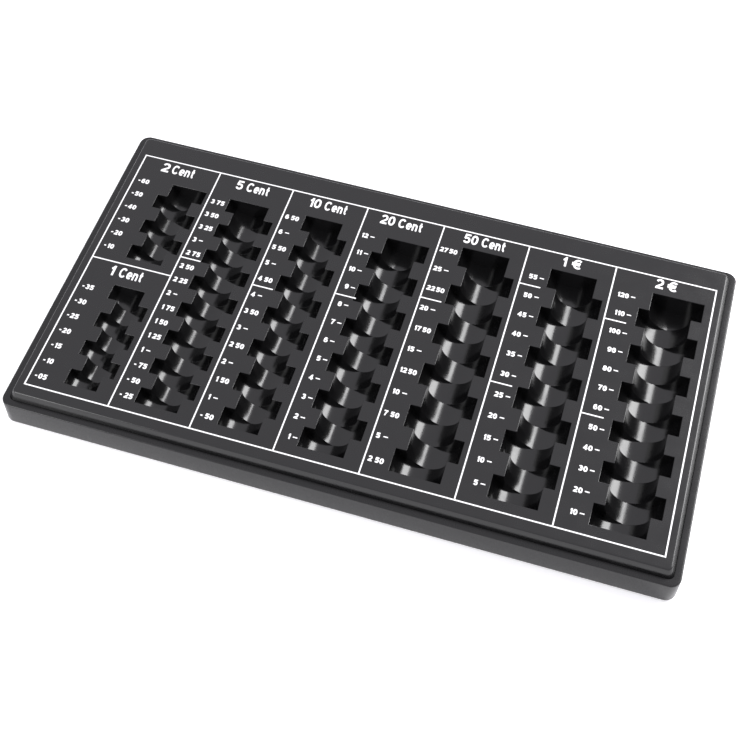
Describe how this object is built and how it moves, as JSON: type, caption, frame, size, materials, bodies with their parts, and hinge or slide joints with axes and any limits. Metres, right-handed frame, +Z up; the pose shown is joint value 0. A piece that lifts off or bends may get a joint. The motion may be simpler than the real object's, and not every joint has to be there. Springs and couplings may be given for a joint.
{
  "type": "coin counting tray",
  "caption": "Flat desk tray for counting euro coins: a raised board with staggered half-round wells for coins on edge, a printed value scale, and a stepped rim on rubber feet.",
  "frame": {"origin": "middle of the footprint on the plane the rubber feet stand on", "axes": "+X along the long side from the 1 cent column to the 2 euro column, +Y to the back edge where the headings are, +Z up out of the wells"},
  "size_m": [0.3288, 0.1832, 0.0203],
  "materials": {
    "board_plastic": "black ABS, satin with a very fine moulded grain on top and smoother in the wells",
    "tray_plastic": "black ABS, satin",
    "screw_steel": "zinc plated steel",
    "foot_rubber": "matt black rubber"
  },
  "bodies": {
    "root": {"counting_board": "board_plastic", "base_tray": "tray_plastic", "screw_back_left": "screw_steel", "screw_back_middle": "screw_steel", "screw_back_right": "screw_steel", "screw_front_left": "screw_steel", "screw_front_middle": "screw_steel", "screw_front_right": "screw_steel", "foot_front_left": "foot_rubber", "foot_front_right": "foot_rubber", "foot_back_left": "foot_rubber", "foot_back_right": "foot_rubber"}
  },
  "joints": []
}
